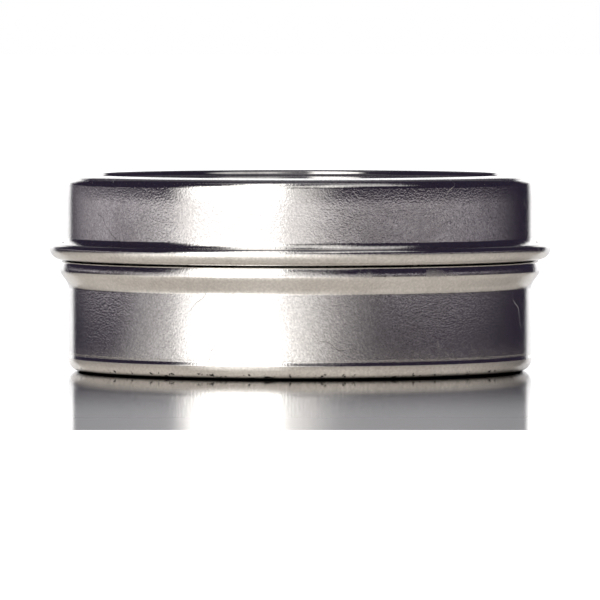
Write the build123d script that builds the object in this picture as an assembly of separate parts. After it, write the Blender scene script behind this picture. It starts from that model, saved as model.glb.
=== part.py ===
from build123d import *
import os

# Round slip-lid tin: a drawn base cup and a drawn lid cap that slides over its neck.
# The origin is the centre of the ring that the tin stands on, and +Z points up.

# Driving sizes
lid_diameter = 62.0
overall_height = 25.95
stop_height = 14.5
sheet = 0.23

# Fit of the lid on the base
slip_clearance = 0.17
stop_gap = 0.25
rim_clearance = 0.2

# Lid crown: a bare flat panel sunk inside a raised rim
rim_width = 3.75
rim_wall_run = 0.3
panel_depth = 0.72
crest_width = 1.05
crown_drop = 0.3
panel_bend = 0.45
crest_bend = 0.5
crown_bend = 6.0
lid_corner_bend = 1.15

# Lid skirt and its outward curl
curl_height = 2.32
curl_width = 1.8
curl_belly = 1.18
curl_side_flat = 0.24
curl_floor_flat = 0.15
flare_out = 0.35
flare_height = 0.4
flare_lift = 0.08
flare_bend = 0.35
curl_top_rise = 0.06
curl_edge_gap = 0.17

# Base foot
bottom_rise = 0.6
bottom_slope_run = 0.6
standing_ring_width = 2.25
bottom_bend = 0.4
foot_corner_bend = 1.6
foot_proud = 0.08
foot_lean = 0.27
foot_height = 1.7
foot_bend = 0.35
valley_depth = 0.09
valley_rise = 0.55
valley_bend = 0.35
wall_start_rise = 0.35
wall_start_bend = 1.2

# Base shoulder, the bead that stops the lid
shoulder_out = 1.2
shoulder_height = 1.9
taper_height = 1.45
taper_low_bend = 1.1
taper_high_bend = 1.4
shoulder_top_bend = 0.4
neck_root_bend = 0.45

# Safe edge curled into the mouth of the base
mouth_curl_width = 1.6
mouth_curl_height = 1.6
mouth_curl_bend = 0.72
mouth_curl_edge_gap = 0.22

lid_radius = lid_diameter / 2
neck_radius = lid_radius - sheet - slip_clearance
lid_rest_height = stop_height + stop_gap
mouth_height = overall_height - crown_drop - sheet - rim_clearance


def other_face(points, bends, turn):
    """The sheet's second face: each corner moved one sheet across, each bend grown or shrunk to match."""
    runs = [(Vector(*b) - Vector(*a)).normalized() for a, b in zip(points, points[1:])]
    across = [Vector(-run.Y, run.X) * turn for run in runs]
    moved = [Vector(*points[0]) + across[0] * sheet]
    moved_bends = []
    for i, bend in enumerate(bends):
        miter = (across[i] + across[i + 1]) / (1 + across[i].dot(across[i + 1]))
        moved.append(Vector(*points[i + 1]) + miter * sheet)
        bends_inwards = runs[i].cross(runs[i + 1]).Z * turn > 0
        moved_bends.append(bend - sheet if bends_inwards else bend + sheet)
    moved.append(Vector(*points[-1]) + across[-1] * sheet)
    return moved, moved_bends


def turned_sheet(points, bends, turn):
    """Bends one sheet along an outline and turns it about Z. A turn of 1 puts the sheet left of the outline."""
    far_points, far_bends = other_face(points, bends, turn)
    near = FilletPolyline(*points, radius=bends)
    far = FilletPolyline(*far_points, radius=far_bends)
    ends = [Line(points[0], far_points[0]), Line(points[-1], far_points[-1])]
    section = make_face(near.edges() + far.edges() + [end.edge() for end in ends])
    return revolve(Plane.XZ * section, axis=Axis.Z)


def lid_shell():
    """Sunk panel, raised rim, skirt, flare and the curl rolled outwards at the open edge."""
    panel_radius = lid_radius - rim_width
    crest_start = panel_radius + rim_wall_run
    flare_radius = lid_radius + flare_out
    curl_radius = flare_radius + curl_width - sheet
    curl_outer_bend = curl_belly - sheet - curl_side_flat / 2
    curl_top_bend = curl_height - curl_belly - sheet - curl_side_flat / 2
    curl_inner_bend = curl_width - sheet - curl_outer_bend - curl_floor_flat
    curl_floor = lid_rest_height + sheet
    curl_roof = lid_rest_height + curl_height - sheet
    flare_end = lid_rest_height + curl_height + flare_lift
    outline = [
        (0, overall_height - panel_depth),
        (panel_radius, overall_height - panel_depth),
        (crest_start, overall_height),
        (crest_start + crest_width, overall_height),
        (lid_radius, overall_height - crown_drop),
        (lid_radius, flare_end + flare_height),
        (flare_radius, flare_end),
        (flare_radius, curl_floor),
        (curl_radius, curl_floor),
        (curl_radius, curl_roof),
        (flare_radius + curl_edge_gap, curl_roof + curl_top_rise),
    ]
    bends = [
        panel_bend,
        crest_bend,
        crown_bend,
        lid_corner_bend,
        flare_bend,
        flare_bend,
        curl_inner_bend,
        curl_outer_bend,
        curl_top_bend,
    ]
    return turned_sheet(outline, bends, -1)


def base_shell():
    """Raised bottom panel, foot, wall, shoulder bead, neck and the curled mouth."""
    foot_radius = neck_radius + foot_proud
    ring_start = foot_radius - foot_lean - standing_ring_width
    valley_height = foot_height + valley_rise
    shoulder_radius = neck_radius + shoulder_out
    taper_top = stop_height - shoulder_height
    mouth_radius = neck_radius - mouth_curl_width
    mouth_curl_floor = mouth_height - mouth_curl_height
    outline = [
        (0, bottom_rise),
        (ring_start - bottom_slope_run, bottom_rise),
        (ring_start, 0),
        (foot_radius - foot_lean, 0),
        (foot_radius, foot_height),
        (neck_radius - valley_depth, valley_height),
        (neck_radius, valley_height + wall_start_rise),
        (neck_radius, taper_top - taper_height),
        (shoulder_radius, taper_top),
        (shoulder_radius, stop_height),
        (neck_radius, stop_height),
        (neck_radius, mouth_height),
        (mouth_radius, mouth_height),
        (mouth_radius, mouth_curl_floor),
        (neck_radius - sheet - mouth_curl_edge_gap, mouth_curl_floor),
    ]
    bends = [
        bottom_bend,
        bottom_bend,
        foot_corner_bend,
        foot_bend,
        valley_bend,
        wall_start_bend,
        taper_low_bend,
        taper_high_bend,
        shoulder_top_bend,
        neck_root_bend,
        mouth_curl_bend,
        mouth_curl_bend,
        mouth_curl_bend,
    ]
    return turned_sheet(outline, bends, 1)


os.makedirs("parts", exist_ok=True)
export_step(base_shell(), "parts/base_shell.step")
export_step(lid_shell(), "parts/lid_shell.step")
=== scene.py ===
import math
import bpy
import bmesh
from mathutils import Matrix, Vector


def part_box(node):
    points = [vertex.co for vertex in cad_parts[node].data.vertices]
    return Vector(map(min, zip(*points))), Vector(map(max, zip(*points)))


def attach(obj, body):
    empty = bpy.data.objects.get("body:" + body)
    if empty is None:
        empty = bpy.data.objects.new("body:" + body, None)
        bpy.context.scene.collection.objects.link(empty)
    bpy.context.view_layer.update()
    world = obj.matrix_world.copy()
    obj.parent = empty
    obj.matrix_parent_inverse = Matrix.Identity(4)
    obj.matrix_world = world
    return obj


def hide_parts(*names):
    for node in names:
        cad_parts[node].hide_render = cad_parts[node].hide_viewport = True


# A round slip-lid tin of bare satin tinplate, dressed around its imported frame. Lengths are in metres.
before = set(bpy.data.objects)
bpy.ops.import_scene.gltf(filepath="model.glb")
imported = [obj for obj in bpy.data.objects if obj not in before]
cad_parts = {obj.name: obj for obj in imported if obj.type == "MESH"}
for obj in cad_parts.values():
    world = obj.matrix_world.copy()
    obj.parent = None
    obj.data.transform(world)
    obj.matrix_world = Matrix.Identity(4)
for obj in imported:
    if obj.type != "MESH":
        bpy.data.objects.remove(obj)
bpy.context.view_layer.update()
mm = 0.001
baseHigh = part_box("base_shell")[1]
lidLow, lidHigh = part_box("lid_shell")
print("frame loaded")


def clearSelection():
    if bpy.context.object is not None and bpy.context.object.mode != "OBJECT":
        bpy.ops.object.mode_set(mode="OBJECT")
    bpy.ops.object.select_all(action="DESELECT")


# Sheet metal

spinning = {
    "steps": 288,                       # facets round the axis
    "degreesPerSegment": 9,             # how finely a bend is divided
    "leastSegments": 2,
    "weld": 0.001 * mm,                 # doubles nearer than this are one point
    "cutEdgeBevel": 0.035 * mm,         # the burr taken off the cut edges
    "cutEdgeSegments": 2,
    "cutEdgeAngle": math.radians(50),
    "smoothAngle": math.radians(35),
    "flatsWeight": 100,                 # how firmly a flat stretch keeps its own shading
}


def drawProfile(name, corners):
    # one face of the sheet as a chain of corners in the XZ plane, extruded from a single point
    clearSelection()
    bpy.ops.mesh.primitive_plane_add(size=mm, location=(0, 0, 0))
    profile = bpy.context.object
    profile.name = name
    bpy.ops.object.mode_set(mode="EDIT")
    bpy.ops.mesh.select_mode(type="VERT")
    bpy.ops.mesh.select_all(action="SELECT")
    bpy.ops.mesh.merge(type="CENTER")
    bpy.ops.transform.translate(value=(corners[0][0], 0, corners[0][1]))
    for here, there in zip(corners, corners[1:]):
        step = (there[0] - here[0], 0, there[1] - here[1])
        bpy.ops.mesh.extrude_vertices_move(TRANSFORM_OT_translate={"value": step})
    return profile


def selectPointAt(radius, height):
    # picks the one profile point that lies at a corner
    mesh = bmesh.from_edit_mesh(bpy.context.object.data)
    place = Vector((radius, 0, height))
    nearest = min(mesh.verts, key=lambda v: (v.co - place).length)
    for v in mesh.verts:
        v.select = v == nearest
    mesh.select_flush_mode()
    bmesh.update_edit_mesh(bpy.context.object.data)


def roundCorners(corners):
    # bevels each corner of the open profile to its own bend
    for before, corner, after in zip(corners, corners[1:], corners[2:]):
        arriving = Vector((corner[0] - before[0], corner[1] - before[1]))
        leaving = Vector((after[0] - corner[0], after[1] - corner[1]))
        turn = arriving.angle(leaving)
        segments = round(math.degrees(turn) / spinning["degreesPerSegment"])
        selectPointAt(corner[0], corner[1])
        bpy.ops.mesh.bevel(
            affect="VERTICES",
            offset=corner[2] * math.tan(turn / 2),
            segments=max(spinning["leastSegments"], segments),
            clamp_overlap=False,
        )


def spinProfile(outsideIsUp):
    # turns the profile about Z and points its faces outwards, going by the flat middle
    bpy.ops.mesh.select_all(action="SELECT")
    bpy.ops.mesh.spin(steps=spinning["steps"], angle=math.tau, center=(0, 0, 0), axis=(0, 0, 1))
    bpy.ops.mesh.select_all(action="SELECT")
    bpy.ops.mesh.remove_doubles(threshold=spinning["weld"])
    bpy.ops.mesh.normals_make_consistent(inside=False)
    mesh = bmesh.from_edit_mesh(bpy.context.object.data)
    middle = min(mesh.faces, key=lambda f: f.calc_center_median().xy.length)
    if (middle.normal.z > 0) != outsideIsUp:
        bpy.ops.mesh.flip_normals()
    bpy.ops.object.mode_set(mode="OBJECT")


def applyModifiers(piece):
    for modifier in list(piece.modifiers):
        bpy.ops.object.modifier_apply(modifier=modifier.name)


def giveWall(piece, sheet):
    # the sheet's thickness on its inner side, with the cut edges softened
    wall = piece.modifiers.new("wall", "SOLIDIFY")
    wall.thickness = sheet
    wall.offset = -1
    wall.use_even_offset = True
    cutEdge = piece.modifiers.new("cutEdge", "BEVEL")
    cutEdge.width = spinning["cutEdgeBevel"]
    cutEdge.segments = spinning["cutEdgeSegments"]
    cutEdge.limit_method = "ANGLE"
    cutEdge.angle_limit = spinning["cutEdgeAngle"]
    applyModifiers(piece)
    bpy.ops.object.shade_smooth_by_angle(angle=spinning["smoothAngle"])
    flats = piece.modifiers.new("flats", "WEIGHTED_NORMAL")
    flats.keep_sharp = True
    flats.weight = spinning["flatsWeight"]
    applyModifiers(piece)


def spinSheet(name, corners, sheet, outsideIsUp):
    # A corner is (radius, height, bend), and outsideIsUp says whether the flat middle faces up.
    piece = drawProfile(name, corners)
    roundCorners(corners)
    spinProfile(outsideIsUp)
    giveWall(piece, sheet)
    print(name, "spun:", len(piece.data.polygons), "faces")
    return piece


# Lid: sunk panel, raised rim, skirt, flare and the curl rolled outwards

lidForm = {
    "sheet": 0.23 * mm,
    "rimWidth": 3.75 * mm,
    "rimWallRun": 0.3 * mm,
    "panelDepth": 0.72 * mm,
    "crestWidth": 1.05 * mm,
    "crownDrop": 0.3 * mm,
    "panelBend": 0.45 * mm,
    "crestBend": 0.5 * mm,
    "crownBend": 6 * mm,
    "cornerBend": 1.15 * mm,
    "easeIn": 0.13 * mm,                # the skirt leans in by this much at its top corner
    "easeHeight": 2.4 * mm,             # and has its full width this far below the top
    "easeBend": 36 * mm,
    "curlWidth": 1.8 * mm,
    "curlHeight": 2.2 * mm,
    "curlBelly": 1.57 * mm,             # the curl is widest this far above its foot
    "curlSideFlat": 0.04 * mm,
    "curlFloorFlat": 0.02 * mm,
    "flareOut": 0.35 * mm,
    "flareHeight": 0.55 * mm,
    "flareDrop": 0.2 * mm,              # the flare ends this far below the top of the curl
    "flareTopBend": 1.4 * mm,
    "flareBend": 0.1 * mm,
    "curlTopRise": 0.06 * mm,
    "curlEdgeGap": 0.17 * mm,
}


def makeLid():
    form = lidForm
    top = lidHigh.z
    curlFoot = lidLow.z
    flareRadius = lidHigh.x - form["curlWidth"]
    skirtRadius = flareRadius - form["flareOut"]
    panelRadius = skirtRadius - form["rimWidth"]
    crestStart = panelRadius + form["rimWallRun"]
    curlRadius = lidHigh.x - form["sheet"]
    outerBend = form["curlBelly"] - form["sheet"] - form["curlSideFlat"] / 2
    topBend = form["curlHeight"] - form["curlBelly"] - form["sheet"] - form["curlSideFlat"] / 2
    innerBend = form["curlWidth"] - form["sheet"] - outerBend - form["curlFloorFlat"]
    curlRoof = curlFoot + form["curlHeight"] - form["sheet"]
    flareEnd = curlFoot + form["curlHeight"] - form["flareDrop"]
    flareStart = flareEnd + form["flareHeight"]
    corners = [
        (0, top - form["panelDepth"], 0),
        (panelRadius, top - form["panelDepth"], form["panelBend"]),
        (crestStart, top, form["crestBend"]),
        (crestStart + form["crestWidth"], top, form["crownBend"]),
        (skirtRadius - form["easeIn"], top - form["crownDrop"], form["cornerBend"]),
        (skirtRadius, top - form["easeHeight"], form["easeBend"]),
        (skirtRadius, flareStart, form["flareTopBend"]),
        (flareRadius, flareEnd, form["flareBend"]),
        (flareRadius, curlFoot + form["sheet"], innerBend),
        (curlRadius, curlFoot + form["sheet"], outerBend),
        (curlRadius, curlRoof, topBend),
        (flareRadius + form["curlEdgeGap"], curlRoof + form["curlTopRise"], 0),
    ]
    return spinSheet("lidShell", corners, form["sheet"], True)


# Base: raised bottom, foot with its crease, wall, shoulder bead, neck and the curled mouth

baseForm = {
    "sheet": 0.23 * mm,
    "shoulderOut": 1.2 * mm,
    "bottomRise": 0.6 * mm,
    "bottomSlopeRun": 0.6 * mm,
    "standingRingWidth": 2.25 * mm,
    "bottomBend": 0.4 * mm,
    "footCornerBend": 1.6 * mm,
    "footProud": 0.07 * mm,
    "footLean": 0.27 * mm,
    "footHeight": 1.8 * mm,
    "footBend": 0.35 * mm,
    "valleyDepth": 0.015 * mm,          # the crease above the foot
    "valleyRise": 0.4 * mm,
    "valleyBend": 0.35 * mm,
    "wallStartRise": 0.35 * mm,
    "wallStartBend": 1.2 * mm,
    "stopHeight": 14.58 * mm,           # the top of the shoulder bead, just under the lid's curl
    "shoulderHeight": 1.58 * mm,
    "shoulderMiddle": 0.92 * mm,        # the bead is round: widest this far below its top
    "shoulderMiddleBend": 2.6 * mm,
    "shoulderTopIn": 0.15 * mm,
    "shoulderFootIn": 0.08 * mm,
    "taperHeight": 1.55 * mm,
    "taperLowBend": 1.6 * mm,
    "taperHighBend": 1.1 * mm,
    "shoulderTopBend": 0.3 * mm,
    "neckRootBend": 0.45 * mm,
    "mouthCurlWidth": 1.6 * mm,
    "mouthCurlHeight": 1.6 * mm,
    "mouthCurlBend": 0.72 * mm,
    "mouthCurlEdgeGap": 0.22 * mm,
}


def makeBase():
    form = baseForm
    mouth = baseHigh.z
    shoulderRadius = baseHigh.x
    neckRadius = shoulderRadius - form["shoulderOut"]
    footRadius = neckRadius + form["footProud"]
    ringStart = footRadius - form["footLean"] - form["standingRingWidth"]
    valleyHeight = form["footHeight"] + form["valleyRise"]
    taperTop = form["stopHeight"] - form["shoulderHeight"]
    mouthRadius = neckRadius - form["mouthCurlWidth"]
    mouthCurlFloor = mouth - form["mouthCurlHeight"]
    mouthEdge = neckRadius - form["sheet"] - form["mouthCurlEdgeGap"]
    corners = [
        (0, form["bottomRise"], 0),
        (ringStart - form["bottomSlopeRun"], form["bottomRise"], form["bottomBend"]),
        (ringStart, 0, form["bottomBend"]),
        (footRadius - form["footLean"], 0, form["footCornerBend"]),
        (footRadius, form["footHeight"], form["footBend"]),
        (neckRadius - form["valleyDepth"], valleyHeight, form["valleyBend"]),
        (neckRadius, valleyHeight + form["wallStartRise"], form["wallStartBend"]),
        (neckRadius, taperTop - form["taperHeight"], form["taperLowBend"]),
        (shoulderRadius - form["shoulderFootIn"], taperTop, form["taperHighBend"]),
        (shoulderRadius, form["stopHeight"] - form["shoulderMiddle"], form["shoulderMiddleBend"]),
        (shoulderRadius - form["shoulderTopIn"], form["stopHeight"], form["shoulderTopBend"]),
        (neckRadius, form["stopHeight"], form["neckRootBend"]),
        (neckRadius, mouth, form["mouthCurlBend"]),
        (mouthRadius, mouth, form["mouthCurlBend"]),
        (mouthRadius, mouthCurlFloor, form["mouthCurlBend"]),
        (mouthEdge, mouthCurlFloor, 0),
    ]
    return spinSheet("baseShell", corners, form["sheet"], False)


# Node helpers

maskRange = (0.0, 1.0)


def addNode(tree, kind, settings, inputs):
    # one node with its settings; an input takes a constant or another node's output
    node = tree.nodes.new(kind)
    for key, value in settings.items():
        setattr(node, key, value)
    for key, given in inputs.items():
        if isinstance(given, bpy.types.NodeSocket):
            tree.links.new(given, node.inputs[key])
        else:
            node.inputs[key].default_value = given
    return node


def mathNode(tree, operation, *given):
    return addNode(tree, "ShaderNodeMath", {"operation": operation}, dict(enumerate(given))).outputs["Value"]


def vectorNode(tree, operation, *given):
    node = addNode(tree, "ShaderNodeVectorMath", {"operation": operation}, dict(enumerate(given)))
    givesNumber = operation in ("DOT_PRODUCT", "LENGTH")
    return node.outputs["Value" if givesNumber else "Vector"]


def scaleVector(tree, vector, factor):
    inputs = {0: vector, "Scale": factor}
    return addNode(tree, "ShaderNodeVectorMath", {"operation": "SCALE"}, inputs).outputs["Vector"]


def smoothStep(tree, value, low, high):
    # 0 below low, 1 above high, and a soft step in between
    inputs = {"Value": value, "From Min": low, "From Max": high}
    return addNode(tree, "ShaderNodeMapRange", {"interpolation_type": "SMOOTHSTEP"}, inputs).outputs["Result"]


def mapRange(tree, value, fromLimits, toLimits):
    # carries a value in a straight line from one pair of limits to another
    inputs = dict(zip(("From Min", "From Max", "To Min", "To Max"), (*fromLimits, *toLimits)))
    inputs["Value"] = value
    return addNode(tree, "ShaderNodeMapRange", {}, inputs).outputs["Result"]


def mixNode(tree, kind, factor, first, second):
    # kind is RGBA for colours and FLOAT for numbers
    inputs = {"Factor": factor, "A": first, "B": second}
    return addNode(tree, "ShaderNodeMix", {"data_type": kind}, inputs).outputs["Result"]


def noiseNode(tree, vector, inputs):
    return addNode(tree, "ShaderNodeTexNoise", {}, {"Vector": vector, **inputs})


def splitVector(tree, vector):
    return addNode(tree, "ShaderNodeSeparateXYZ", {}, {"Vector": vector}).outputs


def newGroup(name, numbers, result):
    # a shader node group that reads a vector and some numbers and puts out one number
    group = bpy.data.node_groups.new(name, "ShaderNodeTree")
    group.interface.new_socket("Vector", in_out="INPUT", socket_type="NodeSocketVector")
    for number in numbers:
        group.interface.new_socket(number, in_out="INPUT", socket_type="NodeSocketFloat")
    group.interface.new_socket(result, in_out="OUTPUT", socket_type="NodeSocketFloat")
    return group, group.nodes.new("NodeGroupInput").outputs, group.nodes.new("NodeGroupOutput").inputs


def useGroup(tree, group, vector, numbers):
    # places a group in a tree with its own values, and gives its one output
    return addNode(tree, "ShaderNodeGroup", {"node_tree": group}, {"Vector": vector, **numbers}).outputs[0]


def newMaterial(name):
    # an emptied material with the object's own coordinates, which every pattern here is placed by
    material = bpy.data.materials.new(name)
    material.use_nodes = True
    tree = material.node_tree
    tree.nodes.clear()
    return material, tree, addNode(tree, "ShaderNodeTexCoord", {}, {}).outputs["Object"]


def dress(piece, material):
    piece.data.materials.clear()
    piece.data.materials.append(material)


# Shared surface effects

effects = {
    "grainNoise": {"Detail": 2.0, "Roughness": 0.5},
    "lineBend": {"Scale": 260.0, "Detail": 1.0},        # what makes a scuff wander
    "speckNoise": {"Detail": 3.0, "Roughness": 0.6},
    "colourMiddle": (0.5, 0.5, 0.5),                    # a texture's colour, centred, is a direction
}


def makeGrainGroup():
    # the orange peel of rolled and drawn tinplate: soft waves with a finer grain on them
    group, given, out = newGroup("rolledGrain", ("Wave Scale", "Peel Scale", "Wave Share"), "Height")
    wave = noiseNode(group, given["Vector"], {"Scale": given["Wave Scale"], **effects["grainNoise"]})
    peel = noiseNode(group, given["Vector"], {"Scale": given["Peel Scale"], **effects["grainNoise"]})
    waves = mathNode(group, "MULTIPLY", wave.outputs["Fac"], given["Wave Share"])
    group.links.new(mathNode(group, "ADD", waves, peel.outputs["Fac"]), out["Height"])
    return group


def makeScratchGroup():
    # short scuffs: each cell holds one thin line that runs its own way
    group, given, out = newGroup("fineScuffs", ("Cell Scale", "Line Width", "Reach", "Wander"), "Mask")
    bend = noiseNode(group, given["Vector"], effects["lineBend"]).outputs["Color"]
    wander = scaleVector(group, vectorNode(group, "SUBTRACT", bend, effects["colourMiddle"]), given["Wander"])
    warped = vectorNode(group, "ADD", given["Vector"], wander)
    cellInputs = {"Vector": warped, "Scale": given["Cell Scale"]}
    cells = addNode(group, "ShaderNodeTexVoronoi", {"feature": "F1"}, cellInputs).outputs
    offset = vectorNode(group, "SUBTRACT", warped, cells["Position"])
    toward = vectorNode(group, "SUBTRACT", cells["Color"], effects["colourMiddle"])
    across = vectorNode(group, "DOT_PRODUCT", offset, vectorNode(group, "NORMALIZE", toward))
    line = smoothStep(group, mathNode(group, "ABSOLUTE", across), given["Line Width"], 0.0)
    within = smoothStep(group, vectorNode(group, "LENGTH", offset), given["Reach"], 0.0)
    group.links.new(mathNode(group, "MULTIPLY", line, within), out["Mask"])
    return group


def makeBandGroup():
    # a mask over a band of heights, broken up along the band; it places dirt, painted contact shade and
    # smears
    numbers = ("Low", "High", "Soft", "Speck Scale", "Threshold", "Edge")
    group, given, out = newGroup("heightBandMask", numbers, "Mask")
    height = splitVector(group, given["Vector"])["Z"]
    lowEnd = mathNode(group, "SUBTRACT", given["Low"], given["Soft"])
    highEnd = mathNode(group, "ADD", given["High"], given["Soft"])
    rising = smoothStep(group, height, lowEnd, given["Low"])
    falling = smoothStep(group, height, highEnd, given["High"])
    band = mathNode(group, "MULTIPLY", rising, falling)
    specks = noiseNode(group, given["Vector"], {"Scale": given["Speck Scale"], **effects["speckNoise"]})
    edge = mathNode(group, "ADD", given["Threshold"], given["Edge"])
    broken = smoothStep(group, specks.outputs["Fac"], given["Threshold"], edge)
    group.links.new(mathNode(group, "MULTIPLY", band, broken), out["Mask"])
    return group


groups = {"grain": makeGrainGroup(), "scratch": makeScratchGroup(), "band": makeBandGroup()}


# Bare tinplate

tinplateLook = {
    "bright": (0.80, 0.785, 0.765, 1),
    "dull": (0.70, 0.68, 0.66, 1),
    # near black, used for dirt specks and for the painted shade under the foot
    "dirtAndShade": (0.012, 0.011, 0.012, 1),
    "clouds": {"Scale": 95.0, "Detail": 4.0, "Roughness": 0.6},
    "cloudLimits": (0.35, 0.68),
    "roughness": 0.095,
    "cloudyRoughness": 0.15,
    "smearRoughness": 0.36,
    "grain": {"Wave Scale": 1700.0, "Peel Scale": 4000.0, "Wave Share": 0.2},
    "grainDepth": 0.015 * mm,
    "flecks": {"Scale": 3000.0, "Detail": 2.0},
    "fleckLimits": (0.32, 0.68),
    "fleckShine": (0.86, 1.1),          # how much the finest grain dims and lifts the metal's shine
    "scuffs": {"Cell Scale": 300.0, "Line Width": 0.04 * mm, "Reach": 1.6 * mm, "Wander": 0.5 * mm},
    "scuffDepth": 0.25,                 # in grain depths, as the next
    "scratches": {"Cell Scale": 95.0, "Line Width": 0.055 * mm, "Reach": 5 * mm, "Wander": 3 * mm},
    "scratchDepth": 1.2,
    "flatCalm": 0.02,                   # share of the grain that the flat middle keeps
    "flatRoughness": 0.05,
    "flatSoft": 0.4 * mm,
}


def makeFlatMask(tree, place, radius):
    # 1 over the flat middle of the sheet and 0 outside it
    parts = splitVector(tree, place)
    squares = [mathNode(tree, "MULTIPLY", parts[axis], parts[axis]) for axis in ("X", "Y")]
    away = mathNode(tree, "SQRT", mathNode(tree, "ADD", *squares))
    return smoothStep(tree, away, radius + tinplateLook["flatSoft"], radius)


def makeTinColour(tree, place, cloudy, dirtAndShade):
    # clouds of duller metal, the glint of the finest grain, and dark bands: dirt specks and painted contact
    # shade
    look = tinplateLook
    tint = mixNode(tree, "RGBA", cloudy, look["bright"], look["dull"])
    finest = noiseNode(tree, place, look["flecks"]).outputs["Fac"]
    colour = scaleVector(tree, tint, mapRange(tree, finest, look["fleckLimits"], look["fleckShine"]))
    for band in dirtAndShade:
        # each band darkens the metal: dirt, or painted shade where the tin stands
        mask = useGroup(tree, groups["band"], place, band)
        colour = mixNode(tree, "RGBA", mask, colour, look["dirtAndShade"])
    return colour


def makeTinRoughness(tree, place, cloudy, smears, flat):
    # rougher where it is cloudy or smeared, and smooth over the flat middle
    look = tinplateLook
    roughness = mapRange(tree, cloudy, maskRange, (look["roughness"], look["cloudyRoughness"]))
    for band in smears:
        mask = useGroup(tree, groups["band"], place, band)
        roughness = mixNode(tree, "FLOAT", mask, roughness, look["smearRoughness"])
    return mixNode(tree, "FLOAT", flat, roughness, look["flatRoughness"])


def makeTinHeight(tree, place, flat):
    # the rolled grain, cut by scuffs and longer scratches, and nearly gone over the flat middle
    look = tinplateLook
    height = useGroup(tree, groups["grain"], place, look["grain"])
    for marks, depth in ((look["scuffs"], look["scuffDepth"]), (look["scratches"], look["scratchDepth"])):
        mask = useGroup(tree, groups["scratch"], place, marks)
        height = mathNode(tree, "ADD", height, mathNode(tree, "MULTIPLY", mask, -depth))
    return mathNode(tree, "MULTIPLY", height, mapRange(tree, flat, maskRange, (1.0, look["flatCalm"])))


def makeTinplate(name, finish):
    look = tinplateLook
    material, tree, place = newMaterial(name)
    clouds = noiseNode(tree, place, look["clouds"]).outputs["Fac"]
    cloudy = smoothStep(tree, clouds, *look["cloudLimits"])
    flat = makeFlatMask(tree, place, finish["flatRadius"])
    bump = addNode(tree, "ShaderNodeBump", {}, {
        "Strength": 1.0,
        "Distance": look["grainDepth"],
        "Height": makeTinHeight(tree, place, flat),
    })
    metal = addNode(tree, "ShaderNodeBsdfPrincipled", {}, {
        "Base Color": makeTinColour(tree, place, cloudy, finish["dirtAndShade"]),
        "Metallic": 1.0,
        "Roughness": makeTinRoughness(tree, place, cloudy, finish["smears"], flat),
        "Normal": bump.outputs["Normal"],
    })
    addNode(tree, "ShaderNodeOutputMaterial", {}, {"Surface": metal.outputs["BSDF"]})
    return material


lidFinish = {
    "flatRadius": 27.6 * mm,
    "dirtAndShade": [],
    "smears": [],
}

baseFinish = {
    "flatRadius": 28 * mm,
    # painted contact shade under the foot, where the tin stands: a solid dark ring; and specks of dirt above
    # it
    "dirtAndShade": [
        {"Low": -mm, "High": 0.08 * mm, "Soft": 0.1 * mm,
         "Speck Scale": 500.0, "Threshold": -0.1, "Edge": 0.06},
        {"Low": 0.3 * mm, "High": 0.7 * mm, "Soft": 0.15 * mm,
         "Speck Scale": 1400.0, "Threshold": 0.57, "Edge": 0.06},
    ],
    # smears left by fingers on the shoulder bead
    "smears": [
        {"Low": 13.3 * mm, "High": 14.0 * mm, "Soft": 0.5 * mm,
         "Speck Scale": 170.0, "Threshold": 0.57, "Edge": 0.12},
    ],
}

lid = makeLid()
dress(lid, makeTinplate("lidTinplate", lidFinish))
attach(lid, "lid")
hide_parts("lid_shell")

base = makeBase()
dress(base, makeTinplate("baseTinplate", baseFinish))
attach(base, "base")
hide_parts("base_shell")
print("tin dressed")


# Studio: light shapes that only gloss sees, a glossy white board on a matt table with painted light and
# shade, a dim sky and a key lamp

def makeLightShapeGroup():
    # a soft-edged window of directions; azimuth 0 is towards the camera and positive to its right
    limits = ("Left", "Left Soft", "Right", "Right Soft", "Low", "Low Soft", "High", "High Soft")
    group, given, out = newGroup("lightShape", ("Turn", *limits), "Mask")
    turned = addNode(group, "ShaderNodeVectorRotate", {"rotation_type": "Z_AXIS"}, {
        "Vector": given["Vector"],
        "Angle": mathNode(group, "RADIANS", given["Turn"]),
    })
    parts = splitVector(group, vectorNode(group, "NORMALIZE", turned.outputs["Vector"]))
    toCamera = mathNode(group, "MULTIPLY", parts["Y"], -1.0)
    azimuth = mathNode(group, "DEGREES", mathNode(group, "ARCTAN2", parts["X"], toCamera))
    elevation = mathNode(group, "DEGREES", mathNode(group, "ARCSINE", parts["Z"]))
    mask = 1.0
    for angle, limit, sign in (
        (azimuth, "Left", 1.0),
        (azimuth, "Right", -1.0),
        (elevation, "Low", 1.0),
        (elevation, "High", -1.0),
    ):
        reach = mathNode(group, "MULTIPLY", given[limit + " Soft"], sign)
        outside = mathNode(group, "SUBTRACT", given[limit], reach)
        inside = mathNode(group, "ADD", given[limit], reach)
        mask = mathNode(group, "MULTIPLY", smoothStep(group, angle, outside, inside), mask)
    group.links.new(mask, out["Mask"])
    return group


def lightWindow(left, right, low, high, turn=0):
    # the values for that window; each edge is an angle and its softness, in degrees
    values = {"Turn": float(turn)}
    for limit, (angle, soft) in (("Left", left), ("Right", right), ("Low", low), ("High", high)):
        values[limit] = float(angle)
        values[limit + " Soft"] = float(soft)
    return values


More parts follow.
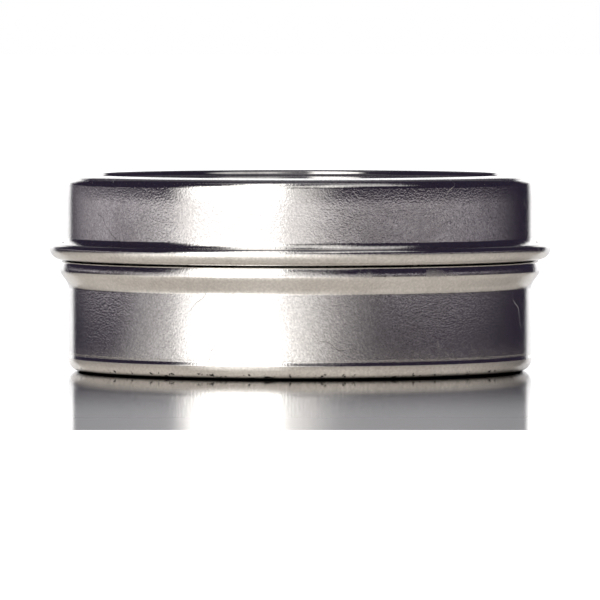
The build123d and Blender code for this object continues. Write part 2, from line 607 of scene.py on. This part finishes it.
lightShapes = [
    # the big softbox at the left front, narrower towards its top
    {"window": lightWindow((-57, 12), (-11, 6), (-8, 4), (12, 5)),
     "strength": 2.4, "colour": (1, 0.985, 0.96, 1)},
    {"window": lightWindow((-53, 8), (-9, 5), (12, 5), (30, 5)),
     "strength": 3.0, "colour": (1, 0.985, 0.96, 1)},
    {"window": lightWindow((-43, 5), (-9, 5), (30, 5), (72, 8)),
     "strength": 1.6, "colour": (1, 0.985, 0.96, 1)},
    # its glow to the right, near the horizon
    {"window": lightWindow((-40, 5), (6, 16), (-12, 4), (12, 8)),
     "strength": 1.1, "colour": (1, 0.98, 0.94, 1)},
    # its glow to the left
    {"window": lightWindow((-80, 32), (-45, 5), (-12, 4), (-0.5, 2.5)),
     "strength": 0.7, "colour": (1, 0.98, 0.95, 1)},
    # a bounce above and to the right
    {"window": lightWindow((-9, 5), (24, 8), (22, 6), (48, 6)),
     "strength": 0.75, "colour": (1, 0.98, 0.94, 1)},
    {"window": lightWindow((14, 12), (62, 6), (34, 6), (60, 6)),
     "strength": 0.6, "colour": (1, 0.99, 0.97, 1)},
    # the dim room at the right and at the left
    {"window": lightWindow((10, 10), (92, 42), (-20, 5), (1, 3)),
     "strength": 0.2, "colour": (1, 0.94, 0.97, 1)},
    {"window": lightWindow((-150, 30), (-60, 12), (-20, 5), (1, 2.5)),
     "strength": 0.22, "colour": (1, 0.96, 1, 1)},
    # the dim ceiling, in front and behind
    {"window": lightWindow((-90, 10), (90, 10), (62, 8), (95, 1)),
     "strength": 0.22, "colour": (1, 0.98, 0.98, 1)},
    {"window": lightWindow((-34, 14), (34, 14), (28, 6), (80, 10), turn=180),
     "strength": 0.1, "colour": (1, 0.99, 0.98, 1)},
    # the white backdrop behind the tin
    {"window": lightWindow((-25, 3), (25, 3), (-12, 3), (8, 4), turn=180),
     "strength": 1.4, "colour": (1, 1, 1, 1)},
    {"window": lightWindow((-30, 3), (30, 3), (8, 4), (20, 2), turn=180),
     "strength": 1.3, "colour": (1, 1, 1, 1)},
]

dome = {
    "radius": 8.6,
    "segments": 48,
    "rings": 24,
    "shade": (0.026, 0.0205, 0.038, 1),         # the dark room between the light shapes
}


def makeDome(shapeGroup):
    # a dark room with the light shapes on its wall, which only glossy rays see
    clearSelection()
    bpy.ops.mesh.primitive_uv_sphere_add(
        segments=dome["segments"], ring_count=dome["rings"], radius=dome["radius"], location=(0, 0, 0),
    )
    room = bpy.context.object
    room.name = "studioDome"
    material, tree, place = newMaterial("studioLight")
    glows = []
    for shape in lightShapes:
        mask = useGroup(tree, shapeGroup, place, shape["window"])
        strength = mathNode(tree, "MULTIPLY", mask, shape["strength"])
        glow = addNode(tree, "ShaderNodeEmission", {}, {"Color": shape["colour"], "Strength": strength})
        glows.append(glow)
    glows.append(addNode(tree, "ShaderNodeEmission", {}, {"Color": dome["shade"], "Strength": 1.0}))
    total = glows[0].outputs["Emission"]
    for glow in glows[1:]:
        both = addNode(tree, "ShaderNodeAddShader", {}, {0: total, 1: glow.outputs["Emission"]})
        total = both.outputs["Shader"]
    addNode(tree, "ShaderNodeOutputMaterial", {}, {"Surface": total})
    material.cycles.emission_sampling = "NONE"
    dress(room, material)
    room.visible_camera = False
    room.visible_diffuse = False
    room.visible_shadow = False
    room.visible_transmission = False


floor = {
    "half": 6.0,
    "boardFront": -0.159,                       # the board ends here, in front of the tin
    "boardRoughness": 0.06,
    "tableRoughness": 0.9,
    "ior": 1.5,
    "white": (0.95, 0.95, 0.95),
    "shade": (0.13, 0.03),                      # painted shade: seen along the board, its own white fades towards the tin between these
    "shadeFacing": (0.85, 0.94),
    "nearInMetal": (0.68, 0.632, 0.572, 1),     # painted light: how the board close to the tin looks in the metal, as if lit
    "farInMetal": (0.055, 0.048, 0.06, 1),      # and painted shade: how the floor further off looks
    "darkening": (0.05, 0.08),                  # the one turns into the other between these
    "darkFacing": (0.78, 0.93),                 # but only rays that skim the floor see it dark
    "contact": (0.0295, 0.0304),                # a painted contact shadow: the board is black to the metal up to here, where the tin would keep the light off
    "spotWindow": lightWindow((-68, 30), (13, 26), (-20, 1), (20, 1)),
    "spotStart": (0.036, 0.09),                 # a painted glow: the lit patch of floor that the softbox leaves in the metal, given as emission
    "spotEnd": (1.15, 0.45),
    "spotStrength": 1.0,
    "spotColour": (1, 0.98, 0.95),
    "roomWindow": lightWindow((-128, 30), (102, 38), (-20, 1), (20, 1)),
    "roomStart": (0.28, 0.6),                   # painted glow: the floor of the room further off, dimly lit all round, given as emission
    "roomStrength": 0.5,
    "roomColour": (1, 0.94, 0.99),
}


def boardToCamera(tree, away, facing):
    # its own white, darkened by painted shade towards the tin where it is seen along the board
    grazing = smoothStep(tree, facing, *floor["shadeFacing"])
    close = smoothStep(tree, away, *floor["shade"])
    kept = mathNode(tree, "SUBTRACT", 1.0, mathNode(tree, "MULTIPLY", grazing, close))
    return scaleVector(tree, floor["white"], kept)


def boardInMetal(tree, away, facing):
    # painted light and shade, seen only by the metal: lit near the tin, dark further off where rays skim it,
    # and a painted black shadow where the tin stands on it
    skimming = smoothStep(tree, facing, *floor["darkFacing"])
    far = mathNode(tree, "MULTIPLY", smoothStep(tree, away, *floor["darkening"]), skimming)
    seen = mixNode(tree, "RGBA", far, floor["nearInMetal"], floor["farInMetal"])
    return scaleVector(tree, seen, smoothStep(tree, away, *floor["contact"]))


def floorGlow(tree, place, away, rays, whiteToCamera, shapeGroup):
    # painted light as emission, which gloss sees shining: the patch under the softbox and, further off, the
    # dim floor of the room
    spot = useGroup(tree, shapeGroup, place, floor["spotWindow"])
    for reach in (floor["spotStart"], floor["spotEnd"]):
        spot = mathNode(tree, "MULTIPLY", spot, smoothStep(tree, away, *reach))
    room = useGroup(tree, shapeGroup, place, floor["roomWindow"])
    room = mathNode(tree, "MULTIPLY", room, smoothStep(tree, away, *floor["roomStart"]))
    spot = mathNode(tree, "MULTIPLY", spot, floor["spotStrength"])
    spot = mathNode(tree, "MULTIPLY", spot, rays["Is Glossy Ray"])
    room = mathNode(tree, "MULTIPLY", room, floor["roomStrength"])
    room = mathNode(tree, "MULTIPLY", room, rays["Is Glossy Ray"])
    if whiteToCamera:
        spot = mathNode(tree, "ADD", spot, rays["Is Camera Ray"])
    patch = scaleVector(tree, floor["spotColour"], spot)
    return vectorNode(tree, "ADD", patch, scaleVector(tree, floor["roomColour"], room))


def makeFloorMaterial(name, roughness, whiteToCamera, shapeGroup):
    # pale to the camera, with painted shade near the tin, and to the metal a studio floor of painted light,
    # shade and glow
    material, tree, place = newMaterial(name)
    rays = addNode(tree, "ShaderNodeLightPath", {}, {}).outputs
    facing = addNode(tree, "ShaderNodeLayerWeight", {}, {}).outputs["Facing"]
    away = vectorNode(tree, "LENGTH", place)
    own = boardToCamera(tree, away, facing)
    inMetal = boardInMetal(tree, away, facing)
    surface = addNode(tree, "ShaderNodeBsdfPrincipled", {}, {
        "Base Color": mixNode(tree, "RGBA", rays["Is Glossy Ray"], own, inMetal),
        "Roughness": roughness,
        "IOR": floor["ior"],
        "Emission Color": floorGlow(tree, place, away, rays, whiteToCamera, shapeGroup),
        "Emission Strength": 1.0,
    })
    addNode(tree, "ShaderNodeOutputMaterial", {}, {"Surface": surface.outputs["BSDF"]})
    return material


def makeFloor(shapeGroup):
    # one flat floor: the glossy board runs from its front edge to the horizon, and matt table lies before it
    half = floor["half"]
    front = floor["boardFront"]
    for name, low, high, roughness, whiteToCamera in (
        ("glossyBoard", front, half, floor["boardRoughness"], False),
        ("mattTable", -half, front, floor["tableRoughness"], True),
    ):
        clearSelection()
        bpy.ops.mesh.primitive_plane_add(size=2, location=(0, 0, 0))
        part = bpy.context.object
        part.name = name
        part.scale = (half, (high - low) / 2, 1)
        part.location = (0, (high + low) / 2, 0)
        bpy.ops.object.transform_apply(location=True, scale=True)
        dress(part, makeFloorMaterial(name, roughness, whiteToCamera, shapeGroup))


sky = {
    "light": 0.5,
    "toCamera": 1.0,            # plain white
    "colour": (1, 1, 1, 1),
}


def makeSky():
    # white to the camera, dimmer as light, and hidden from gloss, which sees the dome
    world = bpy.data.worlds.new("studioSky")
    bpy.context.scene.world = world
    world.use_nodes = True
    tree = world.node_tree
    tree.nodes.clear()
    rays = addNode(tree, "ShaderNodeLightPath", {}, {}).outputs
    strength = mapRange(tree, rays["Is Camera Ray"], maskRange, (sky["light"], sky["toCamera"]))
    backdrop = addNode(tree, "ShaderNodeBackground", {}, {"Color": sky["colour"], "Strength": strength})
    addNode(tree, "ShaderNodeOutputWorld", {}, {"Surface": backdrop.outputs["Background"]})
    world.cycles_visibility.glossy = False


keyLamp = {
    "azimuth": -33,             # degrees, as the light shapes'
    "elevation": 42,
    "distance": 1.3,
    "size": 0.9,
    "power": 12.5,
}


def makeKeyLamp():
    azimuth = math.radians(keyLamp["azimuth"])
    elevation = math.radians(keyLamp["elevation"])
    toward = Vector((
        math.sin(azimuth) * math.cos(elevation),
        -math.cos(azimuth) * math.cos(elevation),
        math.sin(elevation),
    ))
    light = bpy.data.lights.new("keyLamp", "AREA")
    light.shape = "SQUARE"
    light.size = keyLamp["size"]
    light.energy = keyLamp["power"]
    lamp = bpy.data.objects.new("keyLamp", light)
    lamp.location = toward * keyLamp["distance"]
    lamp.rotation_euler = toward.to_track_quat("Z", "Y").to_euler()
    lamp.visible_glossy = False
    bpy.context.scene.collection.objects.link(lamp)


camera = {
    "distance": 1.150,          # from the tin's axis
    "height": 49.6 * mm,        # above the table
    "aim": 9.3 * mm,            # the height on the axis at the middle of the picture
    "lens": 522,
    "sensor": 36,
}


def makeCamera():
    lens = bpy.data.cameras.new("camera")
    lens.lens = camera["lens"]
    lens.sensor_width = camera["sensor"]
    eye = bpy.data.objects.new("camera", lens)
    eye.location = (0, -camera["distance"], camera["height"])
    gaze = Vector((0, 0, camera["aim"])) - eye.location
    eye.rotation_euler = gaze.to_track_quat("-Z", "Y").to_euler()
    bpy.context.scene.collection.objects.link(eye)
    bpy.context.scene.camera = eye


lightShapeGroup = makeLightShapeGroup()
makeDome(lightShapeGroup)
makeFloor(lightShapeGroup)
makeSky()
makeKeyLamp()
makeCamera()
bpy.context.scene.view_settings.view_transform = "Standard"
clearSelection()
print("studio set")
